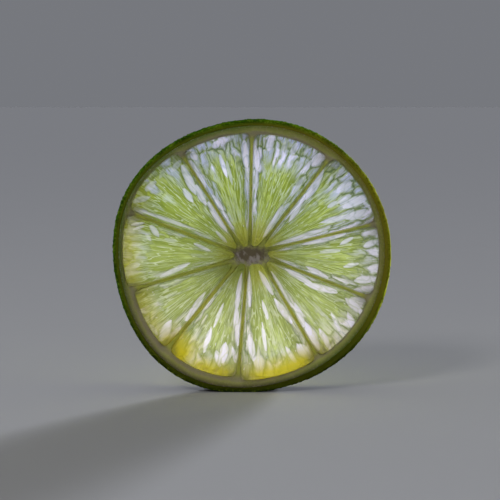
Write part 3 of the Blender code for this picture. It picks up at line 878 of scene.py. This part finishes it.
def pithMaterial(look):
    made, net = newMaterial("pith")
    place = net.node("ShaderNodeTexCoord", out="Object")
    outward = net.node("ShaderNodeAttribute", {"attribute_name": "outward"}, out="Fac")
    border = net.node("ShaderNodeAttribute", {"attribute_name": "border"}, out="Fac")
    millimetres = net.scaled(place, 1 / mm)
    x, _, z = net.parts(millimetres)
    x, z = x - core.x / mm, z - core.y / mm
    radius = (x * x + z * z) ** 0.5
    spongy = net.noise(millimetres, 2.2, 4.0, 0.6)
    patchy = net.noise(millimetres, 0.25, 3.0)
    membrane = net.smooth(outward, 1.6, 2.8)
    base = net.blend(net.smooth(patchy, 0.35, 0.7), colour(look["pale"]), colour(look["mauve"]))
    depth = outward + (spongy - 0.5) * 0.8 + (patchy - 0.5) * 1.6
    right, low = x / (sliceRadius / mm), z / (-sliceRadius / mm)
    lowShare = net.smooth(low - right * 0.4, 0.3, 1.0)
    olive = net.blend(lowShare, colour(look["olive"]), colour(look["oliveLow"]))
    base = net.blend(1 - net.smooth(depth, 0.7, 1.7), base, olive)
    mossShare = net.smooth(right - low * 0.5, 0.3, 0.95)
    moss = net.blend(mossShare, colour(look["moss"]), colour(look["mossRight"]))
    moss = net.blend(lowShare, moss, colour(look["mossLow"]))
    base = net.blend(1 - net.smooth(depth, 0.3, 1.15), base, moss)
    base = net.blend((1 - net.smooth(border, 0.0, 0.35)) * 0.5, base, colour(look["olive"]))
    grain = net.noise(millimetres, 3.2, 2.0, 0.6)
    base = net.blend((1 - net.smooth(grain, 0.38, 0.5)) * 0.45, base, colour(look["moss"]))
    base = net.blend(net.smooth(grain, 0.52, 0.66) * 0.5, base, colour(look["pale"]))
    base = net.blend(membrane, base, colour(look["olive"]))
    nearCore = 1 - net.smooth(radius, look["coreRadius"], look["coreRadius"] + 3.0)
    base = net.blend(nearCore * 0.8, base, colour(look["coreOlive"]))
    # the core is wider than it is high
    spread = (x * x * 0.5 + z * z * 2.0) ** 0.5
    coreShare = 1 - net.smooth(spread + spongy * 2.8, look["coreRadius"] - 0.9, look["coreRadius"] + 1.5)
    base = net.blend(coreShare, base, colour(look["brown"]))
    streak = net.noise(net.point(x * 1.1 + z * 0.5, z * 0.7), 1.0, 3.0)
    streakShare = coreShare * net.smooth(streak + low * 2.5, 0.48, 0.7) * 0.85
    base = net.blend(streakShare, base, colour(look["coreStreak"]))
    bump = net.node("ShaderNodeBump", values={"Height": spongy, "Strength": 0.5, "Distance": 0.12 * mm})
    surface = net.node("ShaderNodeBsdfPrincipled", values={
        "Base Color": base, "Roughness": 0.5 + spongy * 0.2, "Normal": bump})
    oliveLight = net.node("ShaderNodeBsdfTranslucent", values={"Color": colour(look["lightOlive"])})
    paleLight = net.node("ShaderNodeBsdfTranslucent", values={"Color": colour(look["lightPale"])})
    greyish = net.most(net.smooth(depth, 0.9, 1.5) * (1 - membrane), coreShare)
    through = net.node("ShaderNodeMixShader", values={0: greyish, 1: oliveLight, 2: paleLight})
    share = look["clear"] * net.smooth(outward, -0.1, 1.2)
    share = share + membrane * (1 - coreShare) * (look["membraneClear"] - look["clear"])
    share = share * (1 - net.most(coreShare * (0.8 - streakShare * 0.35), nearCore * 0.2))
    finishMaterial(net, net.node("ShaderNodeMixShader", values={0: share, 1: surface, 2: through}))
    return made


def pithTree(look, surface):
    sizes = {"Fibre Relief": look["fibreRelief"]}
    tree, net, (geometry, relief) = newTree("roughenPith", sizes)

    def stored(name):
        return net.node("GeometryNodeInputNamedAttribute", {"data_type": "FLOAT"}, {"Name": name},
                        "Attribute")

    place = net.scaled(net.node("GeometryNodeInputPosition"), 1 / mm)
    spongy = net.noise(place, 1.1, 3.0) - 0.5
    edge = 1 - net.smooth(stored("border"), 0.0, 0.2)
    height = (spongy * 2 - edge * 0.8) * relief * stored("side")
    moved = net.node("GeometryNodeSetPosition", values={"Geometry": geometry,
                                                        "Offset": net.point(0.0, height, 0.0)})
    closeTree(net, moved, surface)
    return tree, sizes


grown("pithWheel", pithMesh(pithLook), *pithTree(pithLook, pithMaterial(pithLook)), "pith", "pith")
print("pith done")


# Studio

studio = {
    "floorSize": 60.0,
    "floorColour": "bfbebb",
    "floorTone": "b5b4b1",         # of its faint grain
    "world": "b9bcc4",
    "worldStrength": 0.375,
    "backPower": 14.0,
    "backWidth": 10.0,             # degrees
    "backColour": "e8edff",
    "backTurn": 26.0,              # degrees to the right of straight behind
    "backRise": 3.0,
    "frontPlace": (-0.3, -0.5, 0.45),
    "frontAim": (0, 0, 0.025),
    "frontSize": 0.16,
    "frontPower": 0.95,            # watts
    "frontColour": "ffffff",
    "elevation": 5.0,              # of the camera, in degrees
    "lens": 120.0,
    "pixelsPerMm": 5.375,
    "picture": 500,                # pixels
    "aimPixel": (250.0, 254.0),    # where the middle of the core stands in the picture
}


def makeFloor(look):
    made, net = newMaterial("floorPaint")
    grain = net.noise(net.node("ShaderNodeTexCoord", out="Object"), 40.0)
    tone = net.blend(grain * 0.15, colour(look["floorColour"]), colour(look["floorTone"]))
    finishMaterial(net, net.node("ShaderNodeBsdfPrincipled", values={
        "Base Color": tone, "Roughness": 0.8, "Specular IOR Level": 0.0}))
    half = look["floorSize"] / 2
    mesh = bpy.data.meshes.new("floor")
    corners = [(-half, -half, 0), (half, -half, 0), (half, half, 0), (-half, half, 0)]
    mesh.from_pydata(corners, [], [(0, 1, 2, 3)])
    mesh.materials.append(made)
    floor = bpy.data.objects.new("floor", mesh)
    bpy.context.scene.collection.objects.link(floor)


def addLamp(name, data, place, aim):
    lamp = bpy.data.objects.new(name, data)
    lamp.location = place
    lamp.rotation_euler = (Vector(aim) - Vector(place)).to_track_quat("-Z", "Y").to_euler()
    lamp.visible_camera = False
    bpy.context.scene.collection.objects.link(lamp)


def makeBackLight(look):
    # a wide soft light far behind the slice, which shines through it
    data = bpy.data.lights.new("backSoft", "SUN")
    data.energy = look["backPower"]
    data.angle = math.radians(look["backWidth"])
    data.color = colour(look["backColour"])[:3]
    turn, rise = math.radians(look["backTurn"]), math.radians(look["backRise"])
    way = Vector((math.sin(turn) * math.cos(rise), math.cos(turn) * math.cos(rise), math.sin(rise)))
    addLamp("backSoft", data, way * 2, (0, 0, 0))


def makeFrontLight(look):
    data = bpy.data.lights.new("frontSoft", "AREA")
    data.size = look["frontSize"]
    data.energy = look["frontPower"]
    data.color = colour(look["frontColour"])[:3]
    addLamp("frontSoft", data, look["frontPlace"], look["frontAim"])


def makeWorld(look):
    world = bpy.data.worlds.new("studioAir")
    world.use_nodes = True
    world.node_tree.nodes["Background"].inputs["Color"].default_value = colour(look["world"])
    world.node_tree.nodes["Background"].inputs["Strength"].default_value = look["worldStrength"]
    bpy.context.scene.world = world


def makeCamera(look):
    data = bpy.data.cameras.new("camera")
    data.lens = look["lens"]
    width = look["picture"] / look["pixelsPerMm"] * mm
    distance = width * data.lens / data.sensor_width
    tilt = math.radians(look["elevation"])
    back = Vector((0, -math.cos(tilt), math.sin(tilt)))
    aside = (look["picture"] / 2 - look["aimPixel"][0]) / look["pixelsPerMm"] * mm
    above = (look["aimPixel"][1] - look["picture"] / 2) / look["pixelsPerMm"] * mm
    aim = Vector((core.x + aside, 0, core.y + above))
    camera = bpy.data.objects.new("camera", data)
    camera.location = aim + back * distance
    camera.rotation_euler = (-back).to_track_quat("-Z", "Y").to_euler()
    bpy.context.scene.collection.objects.link(camera)
    bpy.context.scene.camera = camera


makeFloor(studio)
makeWorld(studio)
makeBackLight(studio)
makeFrontLight(studio)
makeCamera(studio)
bpy.context.scene.view_settings.view_transform = "Standard"
print("studio done")
